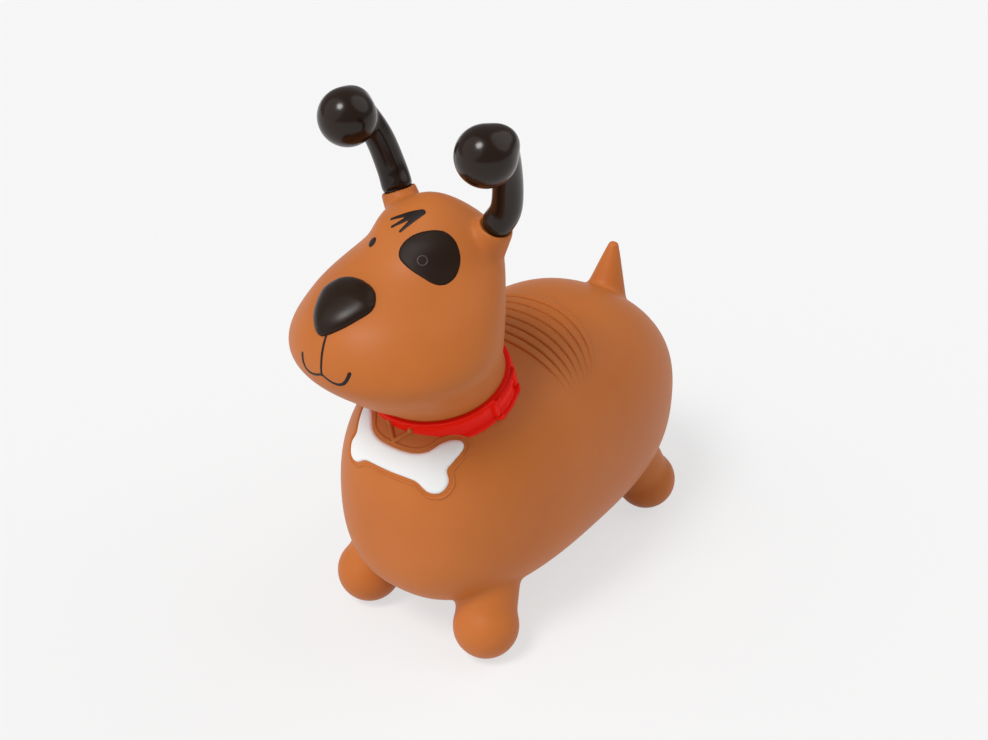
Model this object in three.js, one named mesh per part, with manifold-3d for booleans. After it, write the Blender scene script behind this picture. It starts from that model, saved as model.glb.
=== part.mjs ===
// Dog hopper: an air-filled bouncing toy in the shape of a dog, moulded in soft PVC.
// Millimetres, +Z up. The dog looks along -Y, its left side is +X, and it stands on Z = 0.
import * as THREE from "three";
import { mergeVertices } from "three/addons/utils/BufferGeometryUtils.js";
import Module from "manifold-3d";

const wasm = await Module();
wasm.setup();
const { degToRad, lerp } = THREE.MathUtils;

// Skin of the moulding
const skinWall = 2.4;
const seatGap = 0.3; // left between pieces that touch
const cutDepth = 50; // how far a relief's cutter reaches, on each side of the skin

// Torso: a loft of super-ellipses along Y, with the rider's dip on top
const torsoLength = 432;
const torsoWidth = 245;
const rumpHeight = 299;
const seatDip = 11;
const seatDipReach = 90;
const widestHeight = 152; // level of the full width
const bellyClearance = 38;
const planPower = 2.6; // 2 is an ellipse, more is squarer
const chestPower = 3;
const rumpPower = 2.05;
const bellyPower = 3.6;
const backPower = 2.3;
const flankPower = 2.5;

// Head and neck: a two-rail loft. Each station has a front and a back point and a half width, as
// shares of the muzzle's reach from the neck axis, of the crown's height above the back and of the width.
const neckInset = 96; // neck axis, from the front of the chest
const neckY = neckInset - torsoLength / 2;
const muzzleReach = 155;
const crownRise = 171;
const headWidth = 196;
const headStations = [
  { front: [0, -0.579], back: [0, -0.579], half: 0, egg: 0 },
  { front: [-0.4, -0.392], back: [0.4, -0.216], half: 0.663, egg: 0 },
  { front: [-0.426, -0.199], back: [0.361, -0.018], half: 0.673, egg: 0 },
  { front: [-0.745, 0.03], back: [0.258, 0.165], half: 0.85, egg: 0 },
  { front: [-1, 0.275], back: [0.226, 0.31], half: 1, egg: 0 },
  { front: [-0.903, 0.532], back: [0.265, 0.509], half: 0.867, egg: 0.12 },
  { front: [-0.529, 0.731], back: [0.31, 0.708], half: 0.633, egg: 0.16 },
  { front: [-0.335, 0.877], back: [0.206, 0.871], half: 0.48, egg: 0.1 },
  { front: [-0.058, 1], back: [-0.058, 1], half: 0, egg: 0 },
];
const headTurn = 5; // degrees about the neck axis, towards the dog's right

// Legs
const footRadius = 33.5;
const footFlat = 9; // radius of the patch that rests on the floor
const footEdge = 8; // degrees from that patch to the ball's first ring
const footTrack = 150;
const footFrontInset = 61; // foot middle, from the front of the chest
const footRearInset = 64; // foot middle, from the end of the rump
const hipTrack = 96;
const hipInset = 104; // from either end of the torso
const hipHeight = 122;
const ankleRadius = 29;
const legFlare = 9;

// Tail
const tailInset = 45; // from the end of the rump
const tailLength = 58;
const tailRadius = 18;
const tailTipRadius = 7;
const tailLean = 14; // degrees, backwards
const tailFlare = 10;

// Ear handles
const earSplay = 24; // degrees, outwards
const earBehind = 8; // behind the neck axis
const earAxisRise = 21; // where the two ear axes meet, above the back
const earBossHeight = 15.5;
const earBossRadius = 16.8;
const earBossFlare = 6;
const earRootRadius = 14.8;
const earStemRadius = 13;
const earKnobRadius = 26.9;
const earStemShare = 0.87; // share of the ear's middle line that shows as a stem
const earSwellStart = 0.66; // where on that line the stem swells towards the knob
const earWall = 2;
const earSeatRadius = 20; // ball seat that the ear rocks on
const earSeatGap = 0.4;
const earAirBore = 4;
const earRise = 86; // rim to the middle of the knob, along the root axis
const earDroop = 9; // how much lower the dog's right ear stands
const earReach = 40; // as earRise, forwards
const earCurl = 13; // as earRise, back towards the middle plane

// Face
const noseWidth = 62;
const noseHeight = 62;
const noseRaise = 105; // nose middle, above the back
const noseAside = -7; // a little to the dog's right
const noseSlope = 53; // degrees, how far the nose looks up
const noseThickness = 3;
const paintThickness = 0.8;
const eyeSpacing = 57;
const eyeAside = 3; // the eyes' middle, to the dog's left
const eyeRaise = 136; // above the back
const eyeSlope = 35; // degrees, how far an eye looks up
const eyeYaw = 36; // degrees, how far it looks to its side
const eyeRadius = 4;
const eyeRingWidth = 1.6;
const patchLength = 54;
const patchHeight = 46;
const patchOffset = 4; // patch middle, outwards from the eye
const tuftRaise = 156; // above the back
const tuftSlope = 62;
const tuftLength = 26;
const tuftWidth = 5.6;
const mouthRaise = 56; // above the back
const mouthAside = 4;
const mouthHalf = 27.5;
const mouthDrop = 13;
const mouthLift = 8;
const mouthWidth = 2.6;
const lipLength = 22; // the line from the mouth up to the nose

// Collar
const collarRaise = 19; // middle of the band, above the shoulders beside it
const collarTilt = 17; // degrees, higher at the nape
const collarHeight = 27;
const collarThickness = 4;
const collarLipHeight = 4;
const collarLipRise = 0.9;
const collarReach = 75; // no part of the collar stands further from the neck axis
const buckleBehind = 6; // behind the neck axis
const buckleLength = 46;
const buckleHeight = 36;
const buckleBar = 6;
const buckleThickness = 2;
const prongWidth = 5;
const strapTipLength = 34;

// Bone tag and its link
const boneDrop = 48; // below the middle of the collar
const boneSlope = 30;
const boneAside = 3;
const boneLength = 115;
const boneHeight = 54;
const boneThickness = 2.4;
const linkWidth = 26;
const linkHeight = 15;
const linkBar = 4.6;
const linkThickness = 2.4;
const linkTipDrop = 34; // below the middle of the collar

// Saddle ribs, across the back
const ribCount = 8;
const ribWidth = 2.6;
const ribRise = 1.3;
const saddleInset = 27.5; // from the torso's full width, on each side
const saddleFrontY = -48;
const saddleFrontBow = 7;
const saddleRearY = 48;
const saddleTipY = -12;

// Air valve, low on the rump
const valveSlope = 35; // degrees, downwards
const valveLevel = 140; // where the valve axis crosses the middle of the rump
const valveInset = 96; // the same, from the end of the rump
const valvePadRadius = 17;
const valvePadDepth = 8;
const valveFlangeRadius = 12;
const valveFlangeThickness = 1.8;
const valveBarrelRadius = 7.6;
const valveBarrelLength = 15;
const valveBore = 4.2;
const plugHeadRadius = 6.8;
const plugHeadThickness = 2.6;
const plugLength = 12;
const plugTipRadius = 3.2;

const weld = 1e-3;
const upwards = new THREE.Vector3(0, 0, 1);

function signedPower(value, power) {
  return Math.sign(value) * Math.abs(value) ** power;
}

// A closed geometry as a solid, with its surface moved out by grow.
function solid(geometry, grow = 0) {
  const bare = geometry.clone();
  bare.deleteAttribute("normal");
  bare.deleteAttribute("uv");
  const welded = mergeVertices(bare, weld);
  const place = welded.attributes.position;
  if (grow !== 0) {
    welded.computeVertexNormals();
    const at = new THREE.Vector3();
    const normal = new THREE.Vector3();
    for (let i = 0; i < place.count; i++) {
      normal.fromBufferAttribute(welded.attributes.normal, i);
      at.fromBufferAttribute(place, i).addScaledVector(normal, grow);
      place.setXYZ(i, at.x, at.y, at.z);
    }
  }
  return new wasm.Manifold(
    new wasm.Mesh({
      numProp: 3,
      vertProperties: Float32Array.from(place.array),
      triVerts: Uint32Array.from(welded.index.array),
    }),
  );
}

function joined(solids) {
  return solids.reduce((all, next) => all.add(next));
}

// A closed surface through rings of points, each ring turning the same way; end rings are poles.
function loft(rings) {
  const around = rings[0].length;
  const places = rings.flat().flatMap((p) => p.toArray());
  const faces = [];
  for (let i = 0; i + 1 < rings.length; i++) {
    for (let j = 0; j < around; j++) {
      const k = (j + 1) % around;
      const [a, b, c, d] = [i * around + j, i * around + k, (i + 1) * around + k, (i + 1) * around + j];
      faces.push(a, b, c, a, c, d);
    }
  }
  const geometry = new THREE.BufferGeometry();
  geometry.setAttribute("position", new THREE.Float32BufferAttribute(places, 3));
  return geometry.setIndex(faces);
}

function steps(count) {
  return Array.from({ length: count + 1 }, (_, i) => i / count);
}

function turns(count) {
  return Array.from({ length: count }, (_, i) => (2 * Math.PI * i) / count);
}

// A frame at origin whose Z is axis and whose X is as near to side as it can be.
function frameAlong(origin, axis, side = new THREE.Vector3(1, 0, 0)) {
  const z = axis.clone().normalize();
  const x = side.clone().addScaledVector(z, -side.dot(z)).normalize();
  return new THREE.Matrix4().makeBasis(x, z.clone().cross(x), z).setPosition(origin);
}

// A profile of (radius, height) pairs, turned about the Z of a frame.
function revolve(profile, segments, frame) {
  const points = profile.map(([radius, height]) => new THREE.Vector2(radius, height));
  return new THREE.LatheGeometry(points, segments).rotateX(Math.PI / 2).applyMatrix4(frame);
}

function disc(radius, from, to, segments, frame) {
  return solid(revolve([[0, from], [radius, from], [radius, to], [0, to]], segments, frame));
}

function arc(radius, middle, fromDegrees, toDegrees, count) {
  return steps(count).map((t) => {
    const angle = degToRad(lerp(fromDegrees, toDegrees, t));
    return [Math.max(0, radius * Math.cos(angle)), middle + radius * Math.sin(angle)];
  });
}

// Where a ray first meets a form, from outside or from inside it.
function castOn(geometry, origin, direction) {
  const target = new THREE.Mesh(geometry, new THREE.MeshBasicMaterial({ side: THREE.DoubleSide }));
  return new THREE.Raycaster(origin, direction.clone().normalize()).intersectObject(target)[0].point;
}

function torsoForm(slices, around) {
  return loft(
    steps(slices).map((s) => {
      const t = signedPower(Math.cos(Math.PI * s), 0.9);
      const y = (-torsoLength / 2) * t;
      const shrink = (power) => Math.max(0, 1 - Math.abs(t) ** power) ** (1 / power);
      const dip = seatDip * Math.exp(-((y / seatDipReach) ** 2));
      return turns(around).map((angle) => {
        const upper = Math.sin(angle) > 0;
        const reach = upper ? rumpHeight - dip - widestHeight : widestHeight - bellyClearance;
        const endPower = upper ? (t > 0 ? chestPower : rumpPower) : bellyPower;
        const sectionPower = 2 / (upper ? backPower : flankPower);
        return new THREE.Vector3(
          (torsoWidth / 2) * shrink(planPower) * signedPower(Math.cos(angle), sectionPower),
          y,
          widestHeight + reach * shrink(endPower) * signedPower(Math.sin(angle), sectionPower),
        );
      });
    }).reverse(),
  );
}

function closedCurve(points) {
  return new THREE.CatmullRomCurve3(points, true, "catmullrom", 0.5);
}

const headTurned = new THREE.Matrix4()
  .makeTranslation(0, neckY, 0)
  .multiply(new THREE.Matrix4().makeRotationZ(degToRad(-headTurn)))
  .multiply(new THREE.Matrix4().makeTranslation(0, -neckY, 0));

// The head as it looks straight ahead; headTurned then sets it to one side.
function headForm(slices, around) {
  const last = headStations.length - 1;
  const returning = headStations.slice(1, last).reverse();
  const sidePoint = ([y, z]) => new THREE.Vector3(0, neckY + y * muzzleReach, rumpHeight + z * crownRise);
  const half = (station) => (station.half * headWidth) / 2;
  const sideView = closedCurve([
    ...headStations.map((s) => sidePoint(s.front)),
    ...returning.map((s) => sidePoint(s.back)),
  ]);
  const widths = closedCurve([
    ...headStations.map((s, i) => new THREE.Vector3(half(s), i, s.egg)),
    ...returning.map((s, i) => new THREE.Vector3(-half(s), last - 1 - i, s.egg)),
  ]);
  return loft(
    steps(slices).map((s) => {
      const front = sideView.getPoint(s / 2);
      const back = sideView.getPoint(1 - s / 2);
      const width = widths.getPoint(s / 2);
      return turns(around).map((angle) => {
        const at = back.clone().lerp(front, 0.5 + 0.5 * Math.cos(angle));
        at.x = width.x * Math.sin(angle) * (1 - width.z * Math.cos(angle));
        return at;
      });
    }),
  );
}

const torsoHost = torsoForm(48, 48);
const headHost = headForm(48, 48);

// A stem that stands on a host form, with a fillet all round that lies down on the host.
// The frame's Z points away from the host; the profile runs from the fillet to the stem's end.
function stemOn(host, frame, profile, reach, depth, around) {
  const stemRadius = profile[0][0];
  const far = 2 * torsoLength;
  const back = new THREE.Vector3().setFromMatrixColumn(frame, 2).negate();
  const heightAt = (radius, angle) => {
    const from = new THREE.Vector3(radius * Math.cos(angle), radius * Math.sin(angle), far);
    const hit = castOn(host, from.applyMatrix4(frame), back);
    return hit.applyMatrix4(frame.clone().invert()).z;
  };
  const columns = turns(around).map((angle) => {
    const inner = heightAt(stemRadius, angle);
    const outer = heightAt(stemRadius + reach, angle);
    const fillet = new THREE.QuadraticBezierCurve(
      new THREE.Vector2(stemRadius + reach, outer - seatGap),
      new THREE.Vector2(stemRadius, inner),
      new THREE.Vector2(stemRadius, Math.min(inner + reach, profile[1][1] - seatGap)),
    );
    const sunk = [[0, -depth], [stemRadius + reach, outer - reach]];
    const line = [...sunk, ...fillet.getPoints(3).map((p) => [p.x, p.y]), ...profile.slice(1)];
    return line.map(([r, h]) => new THREE.Vector3(r * Math.cos(angle), r * Math.sin(angle), h));
  });
  return loft(columns[0].map((_, i) => columns.map((column) => column[i]))).applyMatrix4(frame);
}

function footMiddle(side, footY) {
  return new THREE.Vector3((side * footTrack) / 2, footY, footRadius);
}

// The frame of a leg at the hip, with Z towards the foot.
function legFrame(side, footY, hipY) {
  const hip = new THREE.Vector3((side * hipTrack) / 2, hipY, hipHeight);
  return frameAlong(hip, footMiddle(side, footY).sub(hip));
}

function legLength(side, footY, hipY) {
  return footMiddle(side, footY).distanceTo(new THREE.Vector3((side * hipTrack) / 2, hipY, hipHeight));
}

function legForms(side, footY, hipY, around) {
  const flatAngle = THREE.MathUtils.radToDeg(Math.acos(footFlat / footRadius));
  const round = arc(footRadius, footRadius, footEdge - flatAngle, 60, 6);
  const ball = [[0, 0], [footFlat, 0], ...round, [0, 2 * footRadius]];
  const length = legLength(side, footY, hipY);
  const shank = [[ankleRadius, 0], [ankleRadius, length - footRadius / 4], [0, length]];
  const middle = footMiddle(side, footY);
  return [
    revolve(ball, around, new THREE.Matrix4().setPosition(middle.x, middle.y, 0)),
    stemOn(torsoHost, legFrame(side, footY, hipY), shank, legFlare, footRadius, around),
  ];
}

// The air space in a leg.
function legCores(side, footY, hipY, around) {
  const radius = ankleRadius - skinWall;
  const length = legLength(side, footY, hipY);
  const ball = arc(footRadius - skinWall, 0, -90, 90, 6);
  const middle = footMiddle(side, footY);
  return [
    revolve(ball, around, new THREE.Matrix4().setPosition(middle)),
    revolve([[0, 0], [radius, 0], [radius, length], [0, length]], around, legFrame(side, footY, hipY)),
  ];
}

function tailFrame() {
  const lean = degToRad(tailLean);
  const axis = new THREE.Vector3(0, Math.sin(lean), Math.cos(lean));
  const root = new THREE.Vector3(0, torsoLength / 2 - tailInset, widestHeight);
  return frameAlong(castOn(torsoHost, root, upwards), axis);
}

function tailForm(around) {
  const profile = [[tailRadius, 0], ...arc(tailTipRadius, tailLength - tailTipRadius, 10, 90, 4)];
  return stemOn(torsoHost, tailFrame(), profile, tailFlare, tailLength, around);
}

// The air space in the tail.
function tailCore(around) {
  const root = tailRadius - skinWall;
  const tip = tailTipRadius - skinWall;
  const end = arc(tip, tailLength - tailTipRadius, 10, 90, 3);
  return revolve([[0, -2 * root], [root, -2 * root], [root, 0], ...end], around, tailFrame());
}

// The rim of an ear's boss: where the ear is seated, with Z along the ear's root.
function earRim(side) {
  const splay = degToRad(earSplay);
  const axis = new THREE.Vector3(side * Math.sin(splay), 0, Math.cos(splay));
  const start = new THREE.Vector3(0, neckY + earBehind, rumpHeight + earAxisRise);
  const skin = castOn(headHost, start, axis);
  const rim = skin.addScaledVector(axis, earBossHeight);
  return frameAlong(rim, axis, new THREE.Vector3(side, 0, 0));
}

function earBoss(side, around) {
  const profile = [[earBossRadius, 0], [earBossRadius, 0], [0, 0]];
  return stemOn(headHost, earRim(side), profile, earBossFlare, 4 * earBossHeight, around);
}

function earSeatHeight() {
  return Math.sqrt(earSeatRadius ** 2 - earRootRadius ** 2); // middle of the ball seat, above the rim
}

// Middle line of an ear in its rim frame: X outwards, Z along the root.
function earLine(side) {
  const point = (rise, reach, curl) => new THREE.Vector3(-curl, -side * reach, rise);
  const height = side > 0 ? earRise : earRise - earDroop;
  const points = [
    point(0, 0, 0),
    point(0.25 * height, -0.05 * earReach, -0.1 * earCurl),
    point(0.69 * height, 0.19 * earReach, 0.47 * earCurl),
    point(1.08 * height, 0.64 * earReach, 0.88 * earCurl),
    point(height, earReach, earCurl),
  ];
  return new THREE.CatmullRomCurve3(points, false, "catmullrom", 0.5);
}

// An ear's stem and knob in its rim frame.
function earForms(side, slices, around) {
  const line = earLine(side);
  const outwards = new THREE.Vector3(1, 0, 0);
  const capAngle = Math.asin(earRootRadius / earSeatRadius);
  const cap = steps(4).map((s) => {
    const radius = earSeatRadius * Math.sin(capAngle * s);
    const height = earSeatHeight() - earSeatRadius * Math.cos(capAngle * s);
    return turns(around).map((a) => new THREE.Vector3(radius * Math.cos(a), radius * Math.sin(a), height));
  });
  const stem = steps(slices).slice(1).map((part) => {
    const s = part < 1 ? earStemShare * part : 1; // the last ring is a pole inside the knob
    const middle = line.getPoint(s);
    const along = line.getTangent(s);
    const across = outwards.clone().addScaledVector(along, -outwards.dot(along)).normalize();
    const third = along.clone().cross(across);
    const swell = Math.max(0, (s - earSwellStart) / (1 - earSwellStart)) ** 1.9;
    const plain = lerp(earRootRadius, earStemRadius, Math.min(1, s / earSwellStart));
    const radius = part < 1 ? plain + (earKnobRadius - earStemRadius) * swell : 0;
    return turns(around).map((a) =>
      middle.clone()
        .addScaledVector(across, radius * Math.cos(a))
        .addScaledVector(third, radius * Math.sin(a)),
    );
  });
  const knob = new THREE.SphereGeometry(earKnobRadius, around, around * 0.7);
  return [loft([...cap, ...stem]), knob.translate(...line.getPoint(1).toArray())];
}

function plate(shape, frame, from, to) {
  const depth = to - from;
  const geometry = new THREE.ExtrudeGeometry(shape, { depth, bevelEnabled: false, curveSegments: 8 });
  return solid(geometry.translate(0, 0, from).applyMatrix4(frame));
}

// A plate that reaches through the skin, on both sides of a frame on it.
function cutterOf(shape, frame) {
  return plate(shape, frame, -cutDepth, cutDepth);
}

// A closed outline through points, rounded between them.
function roundedShape(points, count) {
  const closed = closedCurve(points.map(([x, y]) => new THREE.Vector3(x, y, 0)));
  return new THREE.Shape(closed.getPoints(count).slice(0, -1).map((p) => new THREE.Vector2(p.x, p.y)));
}

// A band of the given widths along a line of points.
function ribbonShape(points, startWidth, endWidth = startWidth) {
  const last = points.length - 1;
  const sides = points.map((p, i) => {
    const along = points[Math.min(i + 1, last)].clone().sub(points[Math.max(i - 1, 0)]).normalize();
    const across = new THREE.Vector2(-along.y, along.x);
    const half = lerp(startWidth, endWidth, i / last) / 2;
    return [p.clone().addScaledVector(across, half), p.clone().addScaledVector(across, -half)];
  });
  return new THREE.Shape([...sides.map((s) => s[1]), ...sides.map((s) => s[0]).reverse()]);
}

function rectangleShape(width, height, corner) {
  const [x, y] = [width / 2, height / 2];
  const shape = new THREE.Shape();
  shape.moveTo(x - corner, -y).quadraticCurveTo(x, -y, x, corner - y);
  shape.lineTo(x, y - corner).quadraticCurveTo(x, y, x - corner, y);
  shape.lineTo(corner - x, y).quadraticCurveTo(-x, y, -x, y - corner);
  shape.lineTo(-x, corner - y).quadraticCurveTo(-x, -y, corner - x, -y);
  return shape;
}

// A layer on host forms, cut to an outline: it starts lift above them and is rise thick.
function layer(hosts, cutter, lift, rise) {
  const outside = joined(hosts.map((host) => solid(host, lift + rise)));
  return outside.intersect(cutter).subtract(joined(hosts.map((host) => solid(host, lift))));
}

// A frame on the front of a form, found at x and a level, looking up by slope and aside by yaw.
function frontFrame(host, x, level, slope, yaw = 0) {
  const at = castOn(host, new THREE.Vector3(x, -2 * torsoLength, level), new THREE.Vector3(0, 1, 0));
  const [up, aside] = [degToRad(slope), degToRad(yaw)];
  const flat = Math.cos(up);
  const axis = new THREE.Vector3(flat * Math.sin(aside), -flat * Math.cos(aside), Math.sin(up));
  return frameAlong(at, axis);
}

function faceFrame(x, raise, slope, yaw) {
  return frontFrame(headHost, x, rumpHeight + raise, slope, yaw).premultiply(headTurned);
}

const torso = torsoForm(26, 28);
const head = headForm(26, 26).applyMatrix4(headTurned);
const endY = torsoLength / 2;
const ends = [
  { footY: footFrontInset - endY, hipY: hipInset - endY },
  { footY: endY - footRearInset, hipY: endY - hipInset },
];
const legsOf = (forms, around) =>
  [-1, 1].flatMap((side) => ends.flatMap(({ footY, hipY }) => forms(side, footY, hipY, around)));

function saddleRibs() {
  const saddleHalf = torsoWidth / 2 - saddleInset;
  const front = (x) => saddleFrontY + saddleFrontBow * (x / saddleHalf) ** 2;
  const rear = (x) => lerp(saddleTipY, saddleRearY, Math.sqrt(1 - (x / saddleHalf) ** 2));
  const prisms = steps(ribCount - 1).map((part) => {
    const line = steps(8).map((s) => {
      const x = 0.97 * saddleHalf * Math.sin(Math.PI * (s - 0.5));
      return new THREE.Vector2(x, lerp(front(x), rear(x), part));
    });
    return plate(ribbonShape(line, ribWidth), new THREE.Matrix4(), widestHeight, rumpHeight + ribRise);
  });
  return solid(torso, ribRise).intersect(joined(prisms));
}

const valveTilt = degToRad(valveSlope);
const valveAxis = new THREE.Vector3(0, Math.cos(valveTilt), -Math.sin(valveTilt));
const valveFrame = frameAlong(
  castOn(torsoHost, new THREE.Vector3(0, torsoLength / 2 - valveInset, valveLevel), valveAxis),
  valveAxis,
);
const earFrames = { left: earRim(1).premultiply(headTurned), right: earRim(-1).premultiply(headTurned) };

function bodySkin() {
  const bosses = [-1, 1].map((side) => earBoss(side, 20).applyMatrix4(headTurned));
  const outer = [torso, head, tailForm(16), ...legsOf(legForms, 14), ...bosses].map((form) => solid(form));
  const inner = [torsoForm(14, 14), headForm(16, 14).applyMatrix4(headTurned)];
  const cores = [tailCore(8), ...legsOf(legCores, 10)].map((form) => solid(form));
  const cavity = joined([...inner.map((form) => solid(form, -skinWall)), ...cores]);
  const pad = disc(valvePadRadius, -valvePadDepth, -skinWall / 2, 24, valveFrame);
  let skin = joined([...outer, saddleRibs()]).subtract(cavity).add(pad);
  skin = skin.subtract(disc(valveBarrelRadius + seatGap, -2 * valvePadDepth, skinWall, 24, valveFrame));
  const recess = disc(valveFlangeRadius + seatGap, -valveFlangeThickness, valvePadDepth, 32, valveFrame);
  skin = skin.subtract(recess);
  for (const frame of Object.values(earFrames)) {
    const ball = arc(earSeatRadius + earSeatGap, earSeatHeight(), -90, 90, 16);
    const depth = earBossHeight + 4 * skinWall;
    skin = skin.subtract(solid(revolve(ball, 28, frame))).subtract(disc(earAirBore, -depth, 0, 16, frame));
  }
  return skin;
}

function ear(side, frame) {
  const outer = earForms(side, 12, 16).map((form) => solid(form.applyMatrix4(frame)));
  const inner = earForms(side, 7, 8).map((form) => solid(form.applyMatrix4(frame), -earWall));
  const bore = disc(earAirBore, -earSeatRadius, earRise / 4, 16, frame);
  return joined(outer).subtract(joined(inner)).subtract(bore);
}

function valveSeat() {
  const under = valveFlangeThickness - seatGap;
  const flange = disc(valveFlangeRadius, -under, seatGap, 32, valveFrame);
  const barrel = disc(valveBarrelRadius, -valveBarrelLength, -under / 2, 24, valveFrame);
  const bore = disc(valveBore, -2 * valveBarrelLength, valveBarrelLength, 24, valveFrame);
  return flange.add(barrel).subtract(bore);
}

function valvePlug() {
  const top = 2 * seatGap + plugHeadThickness;
  const profile = [
    [0, 2 * seatGap - plugLength],
    [plugTipRadius, 2 * seatGap - plugLength],
    [valveBore - seatGap, 2 * seatGap - plugLength / 2],
    [valveBore - seatGap, 2 * seatGap],
    [plugHeadRadius, 2 * seatGap],
    [plugHeadRadius, top - plugHeadThickness / 3],
    [plugHeadRadius * 0.8, top],
    [0, top],
  ];
  return solid(revolve(profile, 24, valveFrame));
}

function nose() {
  const [x, y] = [noseWidth / 2, noseHeight / 2];
  const shares = [[0.64, 0.78], [0.98, 0.3], [0.84, -0.2], [0.5, -0.72]];
  const right = shares.map(([px, py]) => [px * x, py * y]);
  const left = right.map(([px, py]) => [-px, py]).reverse();
  const outline = roundedShape([[0, 0.92 * y], ...right, [0, -1.05 * y], ...left], 36);
  const frame = faceFrame(noseAside, noseRaise, noseSlope);
  return layer([head], cutterOf(outline, frame), seatGap, noseThickness);
}

function mouthLine() {
  const frame = faceFrame(mouthAside, mouthRaise, 0);
  const corner = (side) =>
    new THREE.QuadraticBezierCurve(
      new THREE.Vector2(0, 0),
      new THREE.Vector2(side * 0.85 * mouthHalf, -mouthDrop),
      new THREE.Vector2(side * mouthHalf, mouthLift),
    ).getPoints(10);
  const lip = [new THREE.Vector2(0, -mouthWidth / 3), new THREE.Vector2(-mouthWidth, lipLength)];
  const lines = [corner(1), corner(-1), lip];
  const strokes = lines.map((line) => cutterOf(ribbonShape(line, mouthWidth), frame));
  return layer([head], joined(strokes), seatGap, paintThickness);
}

const patchFrame = faceFrame(eyeAside + eyeSpacing / 2 + patchOffset, eyeRaise, eyeSlope, eyeYaw);

function eyePatch() {
  const [x, y] = [patchLength / 2, patchHeight / 2];
  const around = [
    [-0.94, -0.39], [-1.03, 0.06], [-0.84, 0.59], [-0.42, 1.01], [0.03, 1.21], [0.49, 1.04],
    [0.84, 0.55], [0.97, -0.08], [0.83, -0.57], [0.5, -0.77], [0, -0.73], [-0.52, -0.63],
  ];
  const outline = roundedShape(around.map(([px, py]) => [px * x, py * y]), 32);
  return layer([head], cutterOf(outline, patchFrame), seatGap, paintThickness);
}

function eyeLeft() {
  const place = new THREE.Matrix4().makeTranslation(-1.2 * patchOffset, -0.9 * patchOffset, 0);
  const frame = patchFrame.clone().multiply(place);
  const ring = disc(eyeRadius + eyeRingWidth / 2, -cutDepth, cutDepth, 16, frame);
  const cutter = ring.subtract(disc(eyeRadius - eyeRingWidth / 2, -2 * cutDepth, 2 * cutDepth, 16, frame));
  return layer([head], cutter, 2 * seatGap + paintThickness, paintThickness);
}

function eyeRight() {
  const frame = faceFrame(eyeAside - eyeSpacing / 2, eyeRaise, eyeSlope, -eyeYaw);
  return layer([head], disc(eyeRadius, -cutDepth, cutDepth, 16, frame), seatGap, paintThickness);
}

function foreheadTuft() {
  const frame = faceFrame(0, tuftRaise, tuftSlope);
  const start = new THREE.Vector2(0.25 * tuftLength, 0.57 * tuftLength);
  const tips = [[-0.72, -0.01], [-0.44, -0.29], [0, -0.35]];
  const strokes = tips.map(([x, y]) => {
    const line = [start, new THREE.Vector2(x * tuftLength, y * tuftLength)];
    return cutterOf(ribbonShape(line, tuftWidth, tuftWidth / 2), frame);
  });
  return layer([head], joined(strokes), seatGap, paintThickness);
}

const collarLean = degToRad(collarTilt);
const collarAxis = new THREE.Vector3(0, -Math.sin(collarLean), Math.cos(collarLean));
const shoulder = castOn(torsoHost, new THREE.Vector3(collarReach, neckY, widestHeight), upwards);
const collarLevel = shoulder.z + collarRaise;
const collarFrame = frameAlong(new THREE.Vector3(0, neckY, collarLevel), collarAxis);
const chestHosts = [torso, head];

function collarSlab(from, to, spare = 0) {
  return disc(collarReach + spare, from, to, 32, collarFrame);
}

// The room that the band and its lips take, with some space left over them.
function collarRoom(spare) {
  const edge = collarHeight / 2 + spare;
  const around = solid(head, seatGap + collarThickness + collarLipRise + spare);
  return around.intersect(collarSlab(-edge, edge, spare));
}

function collarBand() {
  const edge = collarHeight / 2;
  const clear = joined(chestHosts.map((host) => solid(host, seatGap)));
  const ring = (grow, from, to) => solid(head, seatGap + grow).intersect(collarSlab(from, to));
  const lips = [-edge, edge - collarLipHeight].map((from) =>
    ring(collarThickness + collarLipRise, from, from + collarLipHeight),
  );
  return joined([ring(collarThickness, -edge, edge), ...lips]).subtract(clear);
}

const buckleFrame = frameAlong(
  new THREE.Vector3(0, neckY + buckleBehind, collarLevel + buckleBehind * Math.tan(collarLean)),
  new THREE.Vector3(1, 0, 0),
  new THREE.Vector3(0, Math.cos(collarLean), Math.sin(collarLean)),
);
const overBand = 2 * seatGap + collarThickness;

function buckleCutter(shape) {
  return plate(shape, buckleFrame, 0, 2 * collarReach);
}

function collarBuckle() {
  const frame = buckleCutter(rectangleShape(buckleLength, buckleHeight, 2 * buckleBar));
  const window = rectangleShape(buckleLength - 2 * buckleBar, buckleHeight - 2 * buckleBar, buckleBar);
  const ring = frame.subtract(buckleCutter(window));
  return layer([head], ring, overBand + collarLipRise, buckleThickness).subtract(solid(torso, seatGap));
}

function collarProng() {
  const length = buckleLength - 2 * buckleBar - 2 * seatGap;
  return layer([head], buckleCutter(rectangleShape(length, prongWidth, 1)), overBand, buckleThickness);
}

function collarTip() {
  const start = buckleLength / 2 + seatGap;
  const half = collarHeight / 2 - collarLipHeight - seatGap;
  const tongue = new THREE.Shape();
  tongue.moveTo(start, -half).lineTo(start + strapTipLength - half, -half);
  tongue.absarc(start + strapTipLength - half, 0, half, -Math.PI / 2, Math.PI / 2);
  tongue.lineTo(start, half);
  return layer([head], buckleCutter(tongue), overBand, collarThickness / 2).subtract(solid(torso, seatGap));
}

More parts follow.
